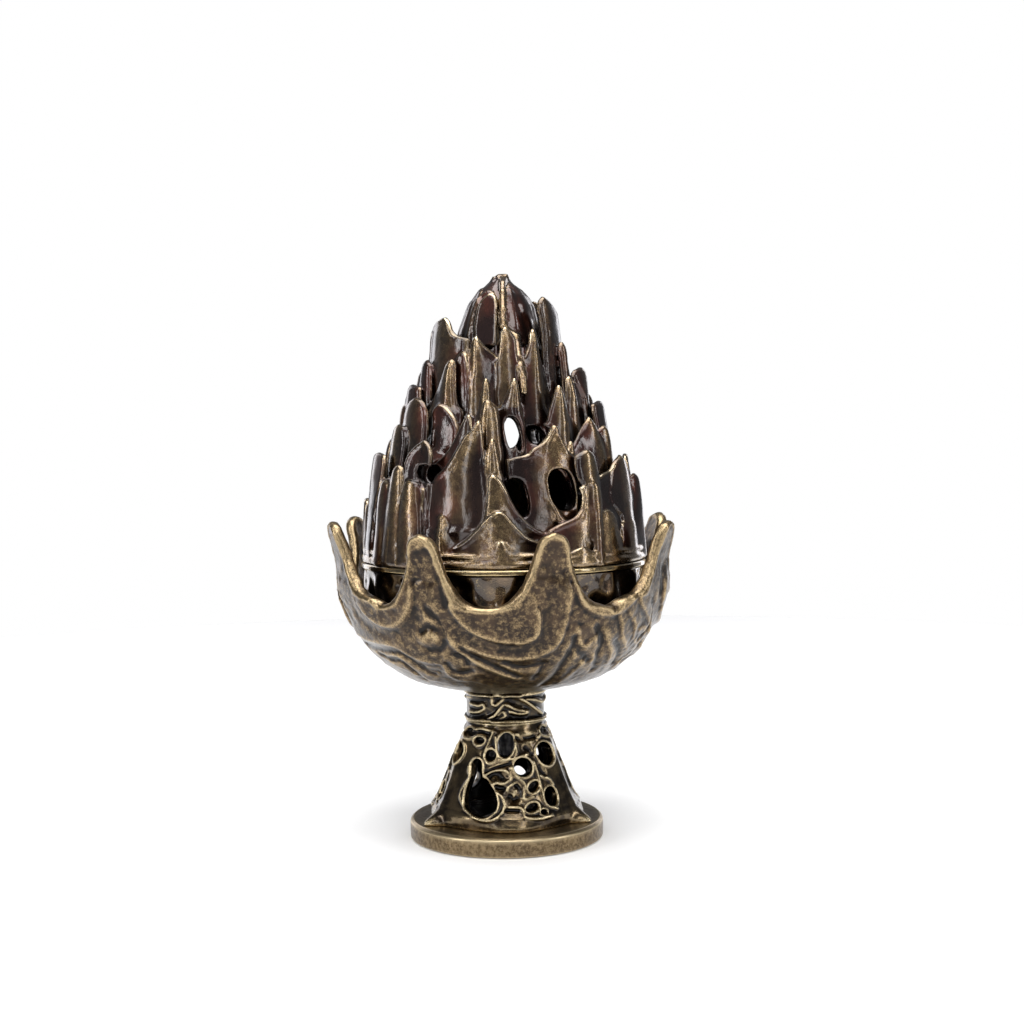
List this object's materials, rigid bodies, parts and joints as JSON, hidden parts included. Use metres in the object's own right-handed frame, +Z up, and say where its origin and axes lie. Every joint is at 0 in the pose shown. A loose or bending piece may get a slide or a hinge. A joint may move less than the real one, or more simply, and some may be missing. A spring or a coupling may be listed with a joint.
{
  "type": "hill censer",
  "caption": "Bronze hill censer: round base, pierced trumpet stem, petal bowl, liner cup with ember dish and a pierced mountain-shaped lid that lifts off.",
  "frame": {"origin": "centre of the underside of the foot pad, where the censer rests on the table", "axes": "+Z up along the stem's axis, -Y towards the viewer of the picture, +X to the viewer's right"},
  "size_m": [0.1068, 0.1068, 0.174],
  "materials": {
    "felt": "black felt",
    "brass_base": "satin antique brass with bright bevels",
    "bronze_stem": "dark polished bronze with rubbed brass ridges",
    "bronze_collar": "dark polished bronze with rubbed brass ridges",
    "bronze_bowl": "satin bronze, dark patina mottled with brass",
    "steel": "zinc plated",
    "bronze_cup": "glossy black-brown patina, bright rim",
    "fibre_mat": "matt white mineral fibre",
    "brass_dish": "satin brass",
    "bronze_lid": "glossy dark brown bronze with rubbed brass edges"
  },
  "bodies": {
    "stand": {"foot_pad": "felt", "base_disc": "brass_base", "stem": "bronze_stem", "stem_collar": "bronze_collar", "petal_bowl": "bronze_bowl", "tie_bolt": "steel", "base_washer": "steel", "bowl_washer": "steel", "bowl_nut": "steel"},
    "cup": {"inner_cup": "bronze_cup", "heat_mat": "fibre_mat"},
    "dish": {"incense_dish": "brass_dish"},
    "lid": {"hill_lid": "bronze_lid"}
  },
  "joints": [
    {"name": "cup_lift", "type": "slide", "parent": "stand", "child": "cup", "axis": [0, 0, 1], "range_m": [0, 0.06]},
    {"name": "dish_lift", "type": "slide", "parent": "cup", "child": "dish", "axis": [0, 0, 1], "range_m": [0, 0.03]},
    {"name": "lid_lift", "type": "slide", "parent": "cup", "child": "lid", "axis": [0, 0, 1], "range_m": [0, 0.06]}
  ]
}
